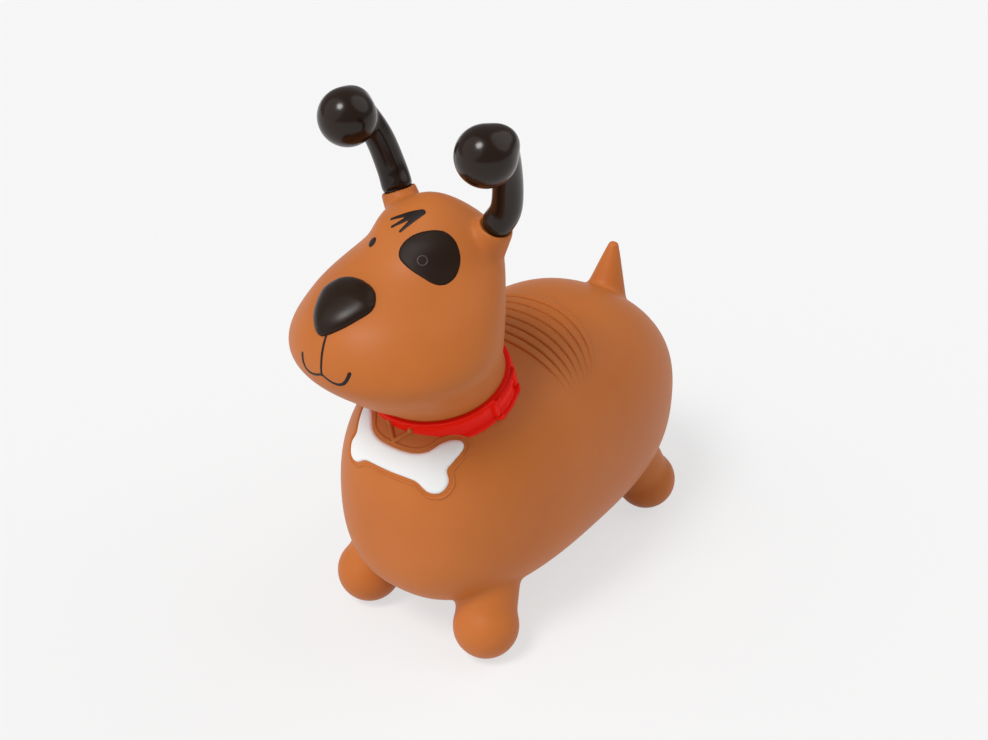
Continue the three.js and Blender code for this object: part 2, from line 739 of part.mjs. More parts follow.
function collarLink() {
  const frame = frontFrame(torsoHost, 0, collarLevel - linkTipDrop, boneSlope);
  const corners = [[-linkWidth / 2, linkHeight], [0, 0], [linkWidth / 2, linkHeight]];
  const line = corners.map(([x, y]) => new THREE.Vector2(x, y));
  const over = joined([solid(torso, seatGap + linkThickness), collarRoom(seatGap + linkThickness)]);
  const under = joined([...chestHosts.map((host) => solid(host, seatGap)), collarRoom(seatGap)]);
  return over.intersect(cutterOf(ribbonShape(line, linkBar), frame)).subtract(under);
}

function boneTag() {
  const frame = frontFrame(torsoHost, boneAside, collarLevel - boneDrop, boneSlope);
  const half = [
    [0.33, 0.44], [0.56, 0.67], [0.7, 1.07], [0.82, 1.3], [0.94, 1.33], [1, 1.11], [0.95, 0.61],
    [0.9, 0.28], [0.97, -0.11], [0.9, -0.54], [0.73, -0.67], [0.54, -0.46], [0.38, -0.43],
  ].map(([x, y]) => [(x * boneLength) / 2, (y * boneHeight) / 2]);
  const mirrored = half.map(([x, y]) => [-x, y]).reverse();
  const middles = [[0, 0.39 * (boneHeight / 2)], [0, -0.44 * (boneHeight / 2)]];
  const outline = roundedShape([middles[0], ...half, middles[1], ...mirrored], 60);
  return layer(chestHosts, cutterOf(outline, frame), seatGap, boneThickness).subtract(collarRoom(seatGap));
}

function meshOf(name, made, color, roughness) {
  const mesh = made.getMesh();
  const places = new Float32Array(mesh.numVert * 3);
  for (let i = 0; i < mesh.numVert; i++) {
    places.set(mesh.vertProperties.subarray(i * mesh.numProp, i * mesh.numProp + 3), i * 3);
  }
  const geometry = new THREE.BufferGeometry();
  geometry.setAttribute("position", new THREE.BufferAttribute(places, 3));
  geometry.setIndex(new THREE.BufferAttribute(mesh.triVerts, 1));
  geometry.computeVertexNormals();
  const material = new THREE.MeshStandardMaterial({ color, roughness, metalness: 0 });
  const piece = new THREE.Mesh(geometry, material);
  piece.name = name;
  return piece;
}

function groupOf(name, ...children) {
  const group = new THREE.Group();
  group.name = name;
  return group.add(...children);
}

const tan = 0xc26f3a;
const darkBrown = 0x3a2620;
const red = 0xd8261c;
const white = 0xf2efe9;

const standing = groupOf(
  "standing",
  groupOf(
    "body",
    meshOf("body_skin", bodySkin(), tan, 0.55),
    meshOf("valve_seat", valveSeat(), white, 0.5),
    meshOf("valve_plug", valvePlug(), white, 0.5),
  ),
  groupOf(
    "ears",
    meshOf("ear_left", ear(1, earFrames.left), darkBrown, 0.3),
    meshOf("ear_right", ear(-1, earFrames.right), darkBrown, 0.3),
  ),
  groupOf(
    "face",
    meshOf("nose", nose(), darkBrown, 0.25),
    meshOf("mouth_line", mouthLine(), darkBrown, 0.5),
    meshOf("eye_patch", eyePatch(), darkBrown, 0.5),
    meshOf("eye_left", eyeLeft(), darkBrown, 0.3),
    meshOf("eye_right", eyeRight(), darkBrown, 0.4),
    meshOf("forehead_tuft", foreheadTuft(), darkBrown, 0.5),
  ),
  groupOf(
    "collar",
    meshOf("collar_band", collarBand(), red, 0.35),
    meshOf("collar_buckle", collarBuckle(), red, 0.35),
    meshOf("collar_prong", collarProng(), red, 0.35),
    meshOf("collar_tip", collarTip(), red, 0.35),
    meshOf("collar_link", collarLink(), tan, 0.5),
    meshOf("bone_tag", boneTag(), white, 0.4),
  ),
);

// The origin goes below the middle of the whole dog.
const box = new THREE.Box3().setFromObject(standing);
const middle = box.getCenter(new THREE.Vector3());
standing.position.set(-middle.x, -middle.y, -box.min.z);

export default groupOf("dog_hopper", standing);
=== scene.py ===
import math
import bpy
import bmesh
from mathutils import Matrix, Vector
from mathutils.bvhtree import BVHTree


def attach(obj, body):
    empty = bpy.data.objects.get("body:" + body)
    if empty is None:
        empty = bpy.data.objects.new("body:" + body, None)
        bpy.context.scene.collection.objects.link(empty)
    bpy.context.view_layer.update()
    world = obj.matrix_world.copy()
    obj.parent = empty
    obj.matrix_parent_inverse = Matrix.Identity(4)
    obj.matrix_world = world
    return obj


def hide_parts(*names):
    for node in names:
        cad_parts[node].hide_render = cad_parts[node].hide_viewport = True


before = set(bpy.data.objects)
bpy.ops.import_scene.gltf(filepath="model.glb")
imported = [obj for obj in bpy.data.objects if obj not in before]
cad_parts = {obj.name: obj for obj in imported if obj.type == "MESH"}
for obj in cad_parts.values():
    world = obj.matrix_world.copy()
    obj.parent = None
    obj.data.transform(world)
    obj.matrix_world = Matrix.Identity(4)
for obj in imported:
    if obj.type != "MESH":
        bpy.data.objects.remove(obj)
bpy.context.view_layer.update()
print("frame loaded")

mm = 0.001
standY = 30.1109  # the solids are shifted by this along Y, in mm
headTurn = math.radians(5)
neckY = -120.0

turned = (
    Matrix.Translation((0, neckY, 0))
    @ Matrix.Rotation(-headTurn, 4, "Z")
    @ Matrix.Translation((0, -neckY, 0))
)
toRow = Matrix.Scale(mm, 4) @ Matrix.Translation((0, standY, 0))
down = Vector((0, 0, -1))
wellClear = 600  # mm, outside the toy, where rays start


def signedPower(value, power):
    return math.copysign(abs(value) ** power, value)


def mix(a, b, t):
    return a + (b - a) * t


def hermite(p0, p1, p2, p3, w):
    m1, m2 = (p2 - p0) * 0.5, (p3 - p1) * 0.5
    return (
        p1 * (2 * w**3 - 3 * w**2 + 1) + m1 * (w**3 - 2 * w**2 + w)
        + p2 * (3 * w**2 - 2 * w**3) + m2 * (w**3 - w**2)
    )


def newObject(name, bm, material):
    mesh = bpy.data.meshes.new(name)
    bm.to_mesh(mesh)
    bm.free()
    mesh.materials.append(material)
    for face in mesh.polygons:
        face.use_smooth = True
    obj = bpy.data.objects.new(name, mesh)
    bpy.context.scene.collection.objects.link(obj)
    return obj


def melted(obj, voxel, rounds):  # the forms in one mesh become one skin with soft creases
    melt = obj.modifiers.new("melt", "REMESH")
    melt.mode = "VOXEL"
    melt.voxel_size = voxel * mm
    soften = obj.modifiers.new("soften", "SMOOTH")
    soften.factor = 0.5
    soften.iterations = rounds
    graph = bpy.context.evaluated_depsgraph_get()
    mesh = bpy.data.meshes.new_from_object(obj.evaluated_get(graph))
    obj.modifiers.clear()
    obj.data = mesh
    for face in mesh.polygons:
        face.use_smooth = True


def along(origin, axis, side=Vector((1, 0, 0))):
    z = Vector(axis).normalized()
    x = (Vector(side) - z * Vector(side).dot(z)).normalized()
    y = z.cross(x)
    turn = Matrix((x, y, z)).transposed().to_4x4()
    return Matrix.Translation(origin) @ turn


# materials

def grainGroup():
    group = bpy.data.node_groups.new("vinylGrain", "ShaderNodeTree")
    for name, kind, way in (
        ("Blotch Scale", "NodeSocketFloat", "INPUT"),
        ("Grain Scale", "NodeSocketFloat", "INPUT"),
        ("Blotch", "NodeSocketFloat", "OUTPUT"),
        ("Grain", "NodeSocketFloat", "OUTPUT"),
    ):
        group.interface.new_socket(name, in_out=way, socket_type=kind)
    nodes, links = group.nodes, group.links
    given = nodes.new("NodeGroupInput")
    out = nodes.new("NodeGroupOutput")
    where = nodes.new("ShaderNodeTexCoord")
    blotch = nodes.new("ShaderNodeTexNoise")
    blotch.inputs["Detail"].default_value = 4
    blotch.inputs["Roughness"].default_value = 0.55
    grain = nodes.new("ShaderNodeTexNoise")
    grain.inputs["Detail"].default_value = 2
    for texture, scale, name in ((blotch, "Blotch Scale", "Blotch"), (grain, "Grain Scale", "Grain")):
        links.new(where.outputs["Object"], texture.inputs["Vector"])
        links.new(given.outputs[scale], texture.inputs["Scale"])
        links.new(texture.outputs["Fac"], out.inputs[name])
    return group


vinylGrain = grainGroup()
finish = dict(
    blotchScale=7.0, grainScale=900.0, rampLow=0.3, rampHigh=0.7, glossSpread=0.06, bumpDepth=0.0006,
)


def vinyl(name, dark, light, gloss, bump, shine=0.3):
    made = bpy.data.materials.new(name)
    made.use_nodes = True
    nodes, links = made.node_tree.nodes, made.node_tree.links
    shader = nodes["Principled BSDF"]
    shader.inputs["Specular IOR Level"].default_value = shine
    grainNode = nodes.new("ShaderNodeGroup")
    grainNode.node_tree = vinylGrain
    grainNode.inputs["Blotch Scale"].default_value = finish["blotchScale"]
    grainNode.inputs["Grain Scale"].default_value = finish["grainScale"]
    tint = nodes.new("ShaderNodeValToRGB")
    tint.color_ramp.elements[0].position = finish["rampLow"]
    tint.color_ramp.elements[1].position = finish["rampHigh"]
    tint.color_ramp.elements[0].color = (*dark, 1)
    tint.color_ramp.elements[1].color = (*light, 1)
    links.new(grainNode.outputs["Blotch"], tint.inputs["Fac"])
    links.new(tint.outputs["Color"], shader.inputs["Base Color"])
    polish = nodes.new("ShaderNodeMapRange")
    polish.inputs["To Min"].default_value = gloss - finish["glossSpread"]
    polish.inputs["To Max"].default_value = gloss + finish["glossSpread"]
    links.new(grainNode.outputs["Blotch"], polish.inputs["Value"])
    links.new(polish.outputs["Result"], shader.inputs["Roughness"])
    ripple = nodes.new("ShaderNodeBump")
    ripple.inputs["Strength"].default_value = bump
    ripple.inputs["Distance"].default_value = finish["bumpDepth"]
    links.new(grainNode.outputs["Grain"], ripple.inputs["Height"])
    links.new(ripple.outputs["Normal"], shader.inputs["Normal"])
    return made


tanVinyl = vinyl("tanVinyl", (0.490, 0.138, 0.026), (0.540, 0.160, 0.034), 0.46, bump=0.10, shine=0.2)
earVinyl = vinyl("earVinyl", (0.012, 0.005, 0.0025), (0.018, 0.008, 0.004), 0.20, bump=0.03, shine=0.32)
noseVinyl = vinyl("noseVinyl", (0.015, 0.006, 0.002), (0.021, 0.009, 0.004), 0.34, bump=0.05, shine=0.22)
patchPaint = vinyl("patchPaint", (0.014, 0.006, 0.003), (0.022, 0.010, 0.006), 0.46, bump=0.12, shine=0.12)
ringPaint = vinyl("ringPaint", (0.050, 0.032, 0.024), (0.066, 0.044, 0.034), 0.34, bump=0.05, shine=0.5)
linePaint = vinyl("linePaint", (0.010, 0.004, 0.003), (0.016, 0.007, 0.004), 0.45, bump=0.08)
collarPaint = vinyl("collarPaint", (0.880, 0.010, 0.003), (0.960, 0.016, 0.006), 0.30, bump=0.08, shine=0.10)
bonePaint = vinyl("bonePaint", (0.81, 0.82, 0.82), (0.87, 0.88, 0.88), 0.40, bump=0.08)
valveVinyl = vinyl("valveVinyl", (0.72, 0.70, 0.66), (0.78, 0.76, 0.73), 0.42, bump=0.08)
print("materials made")

# body

moulded = dict(voxel=2.5, soften=20)  # mm, rounds of smoothing
torso = dict(
    length=432, width=245, rump=299, dip=11, dipReach=90, widest=152, belly=38,
    plan=2.6, chest=3.0, rumpPower=2.05, bellyPower=3.6, back=2.3, flank=2.5, rowPower=0.9,
)


def torsoShrink(t, power):
    return max(0.0, 1 - abs(t) ** power) ** (1 / power)


def torsoPoint(t, angle):
    y = -torso["length"] / 2 * t
    upper = math.sin(angle) > 0
    dip = torso["dip"] * math.exp(-((y / torso["dipReach"]) ** 2))
    reach = torso["rump"] - dip - torso["widest"] if upper else torso["widest"] - torso["belly"]
    endPower = (torso["chest"] if t > 0 else torso["rumpPower"]) if upper else torso["bellyPower"]
    sectionPower = 2 / (torso["back"] if upper else torso["flank"])
    x = torso["width"] / 2 * torsoShrink(t, torso["plan"]) * signedPower(math.cos(angle), sectionPower)
    z = torso["widest"] + reach * torsoShrink(t, endPower) * signedPower(math.sin(angle), sectionPower)
    return Vector((x, y, z))


def roundedTorso():
    bm = bmesh.new()
    bmesh.ops.create_uvsphere(bm, u_segments=160, v_segments=140, radius=1)
    for v in bm.verts:
        t = signedPower(max(-1, min(1, v.co.z)), torso["rowPower"])  # rows lie closer at the ends
        v.co = torsoPoint(t, math.atan2(v.co.y, v.co.x))
    return bm


headStations = (
    ((-120, 200), (-120, 200), 0, 0),
    ((-182, 232), (-58, 262), 65, 0),
    ((-186, 265), (-64, 296), 66, 0),
    ((-235.5, 304.1), (-80, 327.2), 83.3, 0),
    ((-275, 346), (-85, 352), 98, 0),
    ((-260, 390), (-79, 386), 85, 0.12),
    ((-202, 424), (-72, 420), 62, 0.16),
    ((-172, 449), (-88, 448), 47, 0.10),
    ((-129, 470), (-129, 470), 0, 0),
)


def closedSpline(points, t):
    count = len(points)
    place = count * t
    i = int(math.floor(place))
    w = place - i
    return hermite(*(points[(i + k) % count] for k in (-1, 0, 1, 2)), w)


inner = headStations[1:-1]
sideView = [Vector((0, *s[0])) for s in headStations] + [Vector((0, *s[1])) for s in reversed(inner)]
widths = [Vector((s[2], 0, s[3])) for s in headStations] + [Vector((-s[2], 0, s[3])) for s in reversed(inner)]


def roundedHead():
    bm = bmesh.new()
    bmesh.ops.create_uvsphere(bm, u_segments=144, v_segments=140, radius=1)
    for v in bm.verts:
        s = 1 - math.acos(max(-1, min(1, v.co.z))) / math.pi
        angle = math.atan2(v.co.x, -v.co.y)
        front, back = closedSpline(sideView, s / 2), closedSpline(sideView, 1 - s / 2)
        width = closedSpline(widths, s / 2)
        place = back.lerp(front, 0.5 + 0.5 * math.cos(angle))
        place.x = width.x * math.sin(angle) * (1 - width.z * math.cos(angle))
        v.co = place
    return bm


legs = dict(
    footRadius=33.5, footTrack=150, footFrontY=-155, footRearY=152, hipTrack=96,
    hipFrontY=-112, hipRearY=112, hipHeight=122, ankle=29.5, thigh=37, soleFlat=1.2, soleRound=3,
)
tail = dict(y=171, length=58, lean=14, root=26, rootDepth=12, tip=7.0)
ears = dict(
    splay=24, y=-112, axisHeight=320, bossHeight=15.5, bossRadius=16.9, bossDepth=45, bossTaper=2,
    rootRadius=14.8, stemRadius=13, knobRadius=26.9, seatRadius=20, seatGap=0.5,
    rise=86, droop=9, reach=40, curl=13, tuck=0.4,
    stemShare=0.93, swellStart=0.66, swellPower=1.2, swellBalls=8, swellStep=0.04, voxel=1.0, soften=100,
)


def addBall(bm, middle, radius):
    made = bmesh.ops.create_uvsphere(bm, u_segments=56, v_segments=40, radius=radius)
    bmesh.ops.translate(bm, verts=made["verts"], vec=middle)
    return made["verts"]


def addTaper(bm, start, end, startRadius, endRadius):
    start, end = Vector(start), Vector(end)
    made = bmesh.ops.create_cone(
        bm, cap_ends=True, segments=56, radius1=startRadius, radius2=endRadius, depth=(end - start).length
    )
    bmesh.ops.transform(bm, matrix=along((start + end) / 2, end - start), verts=made["verts"])


def roundedLegs(bm):
    spread = legs["soleRound"] / (legs["soleRound"] - legs["soleFlat"])
    for side in (-1, 1):
        for footY, hipY in ((legs["footFrontY"], legs["hipFrontY"]), (legs["footRearY"], legs["hipRearY"])):
            foot = Vector((side * legs["footTrack"] / 2, footY, legs["footRadius"]))
            hip = Vector((side * legs["hipTrack"] / 2, hipY, legs["hipHeight"]))
            for v in addBall(bm, foot, legs["footRadius"]):
                if v.co.z < legs["soleRound"]:
                    v.co.z = max(0.0, (v.co.z - legs["soleFlat"]) * spread)
            addTaper(bm, foot, hip, legs["ankle"], legs["thigh"])


def roundedTail(bm, torsoTree):
    lean = math.radians(tail["lean"])
    axis = Vector((0, math.sin(lean), math.cos(lean)))
    root = torsoTree.ray_cast(Vector((0, tail["y"], wellClear)), down)[0]
    tip = root + axis * (tail["length"] - tail["tip"])
    addTaper(bm, root - axis * tail["rootDepth"], tip, tail["root"], tail["tip"])
    addBall(bm, tip, tail["tip"])


def earRim(side, headTree):
    splay = math.radians(ears["splay"])
    axis = Vector((side * math.sin(splay), 0, math.cos(splay)))
    start = Vector((0, ears["y"], ears["axisHeight"]))
    skin = headTree.ray_cast(start + axis * wellClear, -axis)[0]
    return turned @ along(skin + axis * ears["bossHeight"], axis, (side, 0, 0))


torsoBm, headBm = roundedTorso(), roundedHead()
torsoTree = BVHTree.FromBMesh(torsoBm)
straightHeadTree = BVHTree.FromBMesh(headBm)
earRims = {"ear_left": earRim(1, straightHeadTree), "ear_right": earRim(-1, straightHeadTree)}
bmesh.ops.transform(headBm, matrix=turned, verts=headBm.verts)
headTree = BVHTree.FromBMesh(headBm)
seatHeight = math.sqrt(ears["seatRadius"] ** 2 - ears["rootRadius"] ** 2)
earPivots = {name: rim @ Vector((0, 0, seatHeight)) for name, rim in earRims.items()}


def moulding():
    bm = bmesh.new()
    roundedLegs(bm)
    roundedTail(bm, torsoTree)
    for rim in earRims.values():
        inside = rim @ Vector((0, 0, -ears["bossDepth"]))
        addTaper(bm, inside, rim.translation, ears["bossRadius"] + ears["bossTaper"], ears["bossRadius"])
    for form in (torsoBm, headBm):
        spare = bpy.data.meshes.new("spare")
        form.to_mesh(spare)
        bm.from_mesh(spare)
        bpy.data.meshes.remove(spare)
    bmesh.ops.transform(bm, matrix=toRow, verts=bm.verts)
    obj = newObject("dogBody", bm, tanVinyl)
    melted(obj, moulded["voxel"], moulded["soften"])
    seat = (ears["seatRadius"] + ears["seatGap"]) * mm
    for pivot in (toRow @ p for p in earPivots.values()):  # the dish that an ear rocks in
        for v in obj.data.vertices:
            out = v.co - pivot
            if out.length < seat:
                v.co = pivot + out.normalized() * seat
    for v in obj.data.vertices:
        v.co.z = max(0.0, v.co.z)
    return obj


dogBody = moulding()
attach(dogBody, "toy")
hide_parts("body_skin")
print("body", len(dogBody.data.polygons), "faces")


def treeOf(*objects):
    corners, faces = [], []
    for obj in objects:
        start = len(corners)
        corners += [v.co / mm - Vector((0, standY, 0)) for v in obj.data.vertices]
        faces += [[start + i for i in p.vertices] for p in obj.data.polygons]
    return BVHTree.FromPolygons(corners, faces)


bodyTree = treeOf(dogBody)


# flat outlines, as signed distances in mm: below zero inside

def polygonDistance(points):
    pairs = list(zip(points, points[1:] + points[:1]))

    def distance(x, y):
        best, inside = 1e9, False
        for (ax, ay), (bx, by) in pairs:
            dx, dy = bx - ax, by - ay
            t = max(0.0, min(1.0, ((x - ax) * dx + (y - ay) * dy) / (dx * dx + dy * dy)))
            best = min(best, (x - ax - t * dx) ** 2 + (y - ay - t * dy) ** 2)
            if (ay > y) != (by > y) and x < ax + (y - ay) / dy * dx:
                inside = not inside
        return -math.sqrt(best) if inside else math.sqrt(best)

    return distance


def strokeDistance(points, startWidth, endWidth):
    count = len(points) - 1

    def distance(x, y):
        best = 1e9
        for i in range(count):
            (ax, ay), (bx, by) = points[i], points[i + 1]
            dx, dy = bx - ax, by - ay
            t = max(0.0, min(1.0, ((x - ax) * dx + (y - ay) * dy) / (dx * dx + dy * dy)))
            half = mix(startWidth, endWidth, (i + t) / count) / 2
            best = min(best, math.hypot(x - ax - t * dx, y - ay - t * dy) - half)
        return best

    return distance


def boxDistance(width, height, corner):
    def distance(x, y):
        qx, qy = abs(x) - width / 2 + corner, abs(y) - height / 2 + corner
        return math.hypot(max(qx, 0), max(qy, 0)) + min(max(qx, qy), 0) - corner

    return distance


def anyOf(*parts):
    return lambda x, y: min(part(x, y) for part in parts)


def ringOf(part, middle, width):
    return lambda x, y: abs(part(x, y) - middle) - width / 2


def smoothClosed(points, count):
    corners = [Vector((x, y, 0)) for x, y in points]
    return [tuple(closedSpline(corners, i / count)[:2]) for i in range(count)]


# a relief piece: a fine grid cut to its outline, pressed on a host and rounded over at its edge
def pressed(name, material, host, place, outline, size, step, rise, edge, sink=0.8, dome=2.0, far=60):
    bm = bmesh.new()
    columns, rows = max(2, round(size[0] / step)), max(2, round(size[1] / step))
    bmesh.ops.create_grid(bm, x_segments=columns, y_segments=rows, size=0.5)
    bmesh.ops.scale(bm, vec=(size[0], size[1], 1), verts=bm.verts)
    depth = {v: outline(v.co.x, v.co.y) for v in bm.verts}
    outside = [f for f in bm.faces if all(depth[v] > 0 for v in f.verts)]
    bmesh.ops.delete(bm, geom=outside, context="FACES")
    probe = 0.05
    for v in bm.verts:
        for _ in range(3):  # a corner outside the outline is drawn back on to it
            x, y = v.co.x, v.co.y
            off = outline(x, y)
            if off <= 0:
                break
            slope = Vector((
                outline(x + probe, y) - outline(x - probe, y), outline(x, y + probe) - outline(x, y - probe),
            ))
            if slope.length > 0:
                slope.normalize()
            v.co.x, v.co.y = x - slope.x * off, y - slope.y * off
    bmesh.ops.remove_doubles(bm, verts=bm.verts, dist=step * 0.04)
    axis = (place.to_3x3() @ Vector((0, 0, 1))).normalized()
    lost, ground = [], {}
    for v in bm.verts:
        inwards = min(1.0, max(0.0, -outline(v.co.x, v.co.y)) / edge)
        crown = rise * (1 - (1 - inwards) ** dome) ** (1 / dome)
        hit, normal, _, _ = host.ray_cast(place @ Vector((v.co.x, v.co.y, far)), -axis)
        if hit is None:
            lost.append(v)
            continue
        ground[v] = hit - axis * sink
        v.co = hit + (normal if normal.dot(axis) > 0 else axis) * crown
    bmesh.ops.delete(bm, geom=lost, context="VERTS")
    underside = list(bm.verts)
    bmesh.ops.extrude_face_region(bm, geom=bm.faces[:], use_keep_orig=True)
    for v in underside:
        v.co = ground[v]
    bmesh.ops.recalc_face_normals(bm, faces=bm.faces)
    bmesh.ops.transform(bm, matrix=toRow, verts=bm.verts)
    return newObject(name, bm, material)


def settle(obj, node, body="toy"):
    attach(obj, body)
    if node:
        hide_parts(node)


def frontPlace(tree, x, level, slope, yaw=0):
    hit = tree.ray_cast(Vector((x, -wellClear, level)), Vector((0, 1, 0)))[0]
    up, aside = math.radians(slope), math.radians(yaw)
    axis = (math.cos(up) * math.sin(aside), -math.cos(up) * math.cos(aside), math.sin(up))
    return along(hit, axis)


def facePlace(x, level, slope, yaw=0):
    return turned @ frontPlace(straightHeadTree, x, level, slope, yaw)


# face

nose = dict(width=62, height=62, level=404, aside=-7, slope=53, rise=9.0, edge=30)
mouth = dict(
    level=355, aside=4, half=27.5, drop=4.3, lift=8, width=2.5, bend=0.85, thin=0.8, thick=1.35, steps=14,
    upright=[(0, -1), (-1.5, 12), (-4, 26), (-5.2, 33)],
)
eye = dict(
    dotX=-25, patchX=35.5, level=435, slope=35, yaw=36,
    dotRadius=5.0, ringAt=(-4.8, -3.6), ringRadius=4.2, ring=1.7,
    patch=((-25.3, -8.9), (-27.9, 1.4), (-22.7, 13.6), (-11.4, 23.3), (0.8, 27.8), (13.2, 23.9),
           (22.8, 12.7), (26.2, -1.9), (22.5, -13.2), (13.5, -17.8), (0, -16.8), (-14, -14.4)),
)
tuft = dict(
    level=455, slope=62, width=7.4, tipWidth=3.0,
    start=(6.5, 14.8), tips=((-18.8, -0.2), (-11.5, -7.5), (0, -9)),
)


def noseOutline():
    x, y = nose["width"] / 2, nose["height"] / 2
    right = [(0.64 * x, 0.78 * y), (0.98 * x, 0.3 * y), (0.84 * x, -0.2 * y), (0.5 * x, -0.72 * y)]
    left = [(-px, py) for px, py in reversed(right)]
    return smoothClosed([(0, 0.92 * y), *right, (0, -1.05 * y), *left], count=72)


nosePad = pressed(
    "nosePad", noseVinyl, bodyTree, facePlace(nose["aside"], nose["level"], nose["slope"]),
    polygonDistance(noseOutline()), size=(68, 72), step=1.1, rise=nose["rise"], edge=nose["edge"], dome=2.2,
)
settle(nosePad, "nose")


def mouthOutline():
    lines = []
    for side in (1, -1):
        a, c = (0, 0), (side * mouth["half"], mouth["lift"])
        b = (side * mouth["bend"] * mouth["half"], -3 * mouth["drop"])
        lines.append([
            tuple((1 - t) ** 2 * a[k] + 2 * t * (1 - t) * b[k] + t * t * c[k] for k in (0, 1))
            for t in (i / mouth["steps"] for i in range(mouth["steps"] + 1))
        ])
    thin, thick = mouth["width"] * mouth["thin"], mouth["width"] * mouth["thick"]
    strokes = [strokeDistance(line, thin, thick) for line in lines]
    return anyOf(*strokes, strokeDistance(mouth["upright"], mouth["width"], mouth["width"]))


mouthLine = pressed(
    "mouthLine", linePaint, bodyTree, facePlace(mouth["aside"], mouth["level"], 0), mouthOutline(),
    size=(72, 76), step=0.55, rise=0.45, edge=0.8,
)
settle(mouthLine, "mouth_line")


patchPlace = facePlace(eye["patchX"], eye["level"], eye["slope"], eye["yaw"])
eyePatch = pressed(
    "eyePatch", patchPaint, bodyTree, patchPlace, polygonDistance(smoothClosed(eye["patch"], count=60)),
    size=(62, 62), step=1.0, rise=0.7, edge=1.4,
)
settle(eyePatch, "eye_patch")


def dot(radius):
    return lambda x, y: math.hypot(x, y) - radius


eyeRing = pressed(
    "eyeRing", ringPaint, bodyTree, patchPlace @ Matrix.Translation((*eye["ringAt"], 0)),
    ringOf(dot(0), eye["ringRadius"], eye["ring"]), size=(14, 14), step=0.3, rise=1.5, edge=0.8,
)
settle(eyeRing, "eye_left")
eyeDot = pressed(
    "eyeDot", linePaint, bodyTree, facePlace(eye["dotX"], eye["level"], eye["slope"], -eye["yaw"]),
    dot(eye["dotRadius"]), size=(12, 12), step=0.4, rise=0.9, edge=2.4,
)
settle(eyeDot, "eye_right")


def tuftOutline():
    lines = [[tuft["start"], tip] for tip in tuft["tips"]]
    return anyOf(*(strokeDistance(line, tuft["width"], tuft["tipWidth"]) for line in lines))


foreheadTuft = pressed(
    "foreheadTuft", linePaint, bodyTree, facePlace(0, tuft["level"], tuft["slope"]), tuftOutline(),
    size=(52, 42), step=0.46, rise=0.5, edge=0.9,
)
settle(foreheadTuft, "forehead_tuft")
print("face made")

# collar

collar = dict(
    raised=19, tilt=17, height=27, thickness=4, lip=0.9, lipHeight=4, reach=75, buried=9, clear=140,
    buckleY=-114, buckleLength=46, buckleHeight=36, buckleBar=6, prong=5, tip=34,
)
lean = math.radians(collar["tilt"])
shoulder = torsoTree.ray_cast(Vector((collar["reach"], neckY, wellClear)), down)[0]
collarLevel = shoulder.z + collar["raised"]
collarFrame = along((0, neckY, collarLevel), (0, -math.sin(lean), math.cos(lean)))


def collarRing():
    half, skin, lip = collar["height"] / 2, collar["thickness"], collar["thickness"] + collar["lip"]
    inside, buried = collar["lipHeight"], collar["buried"]
    profile = [
        (-half, -buried), (-half, lip - 1), (-half + 0.4, lip - 0.3), (-half + 1.2, lip),
        (-half + inside - 1, lip), (-half + inside - 0.3, lip - 0.4), (-half + inside, skin),
        (-4, skin + 0.3), (0, skin + 0.4), (4, skin + 0.3),
        (half - inside, skin), (half - inside + 0.3, lip - 0.4), (half - inside + 1, lip),
        (half - 1.2, lip), (half - 0.4, lip - 0.3), (half, lip - 1), (half, -buried),
    ]
    bm = bmesh.new()
    hub = 100  # any radius does for the spin, the neck sets the real one
    line = [bm.verts.new((hub + offset, 0, height)) for height, offset in profile]
    edges = [bm.edges.new(pair) for pair in zip(line, line[1:] + line[:1])]
    bmesh.ops.spin(
        bm, geom=line + edges, cent=(0, 0, 0), axis=(0, 0, 1), angle=2 * math.pi, steps=192, use_merge=True
    )
    for v in bm.verts:
        offset = math.hypot(v.co.x, v.co.y) - hub
        out = Vector((v.co.x, v.co.y, 0)).normalized()
        start = collarFrame @ (out * collar["clear"] + Vector((0, 0, v.co.z)))
        hit = headTree.ray_cast(start, -(collarFrame.to_3x3() @ out))[0]
        radius = min((collarFrame.inverted() @ hit).xy.length, collar["reach"] - collar["thickness"])
        v.co = collarFrame @ (out * (radius + offset) + Vector((0, 0, v.co.z)))
    bmesh.ops.recalc_face_normals(bm, faces=bm.faces)
    return bm


ringBm = collarRing()
collarTree = BVHTree.FromBMesh(ringBm)
bmesh.ops.transform(ringBm, matrix=toRow, verts=ringBm.verts)
collarBand = newObject("collarBand", ringBm, collarPaint)
settle(collarBand, "collar_band")

buckleRise = (collar["buckleY"] - neckY) * math.tan(lean)
bucklePlace = along(
    (0, collar["buckleY"], collarLevel + buckleRise), (1, 0, 0), (0, math.cos(lean), math.sin(lean))
)
bar = collar["buckleBar"]
frameShape = boxDistance(collar["buckleLength"] - bar, collar["buckleHeight"] - bar, corner=8)
buckleFrame = pressed(
    "buckleFrame", collarPaint, collarTree, bucklePlace, ringOf(frameShape, 0, bar),
    size=(50, 40), step=0.7, rise=4.0, edge=2.4, far=collar["clear"],
)
settle(buckleFrame, "collar_buckle")
prongLength = collar["buckleLength"] - 2 * bar
bucklePin = pressed(
    "bucklePin", collarPaint, collarTree, bucklePlace, boxDistance(prongLength, collar["prong"], corner=2),
    size=(prongLength + 2, 8), step=0.7, rise=2.0, edge=2.0, far=collar["clear"],
)
settle(bucklePin, "collar_prong")
tipHalf = collar["height"] / 2 - collar["lipHeight"]
tipStart = collar["buckleLength"] / 2 + 0.3
strapTip = pressed(
    "strapTip", collarPaint, collarTree,
    bucklePlace @ Matrix.Translation((tipStart + collar["tip"] / 2, 0, 0)),
    boxDistance(collar["tip"], 2 * tipHalf, corner=6),
    size=(collar["tip"] + 2, 2 * tipHalf + 2), step=0.9, rise=1.4, edge=1.2, far=collar["clear"],
)
settle(strapTip, "collar_tip")
print("collar made")

# bone tag on the chest, its border and its link

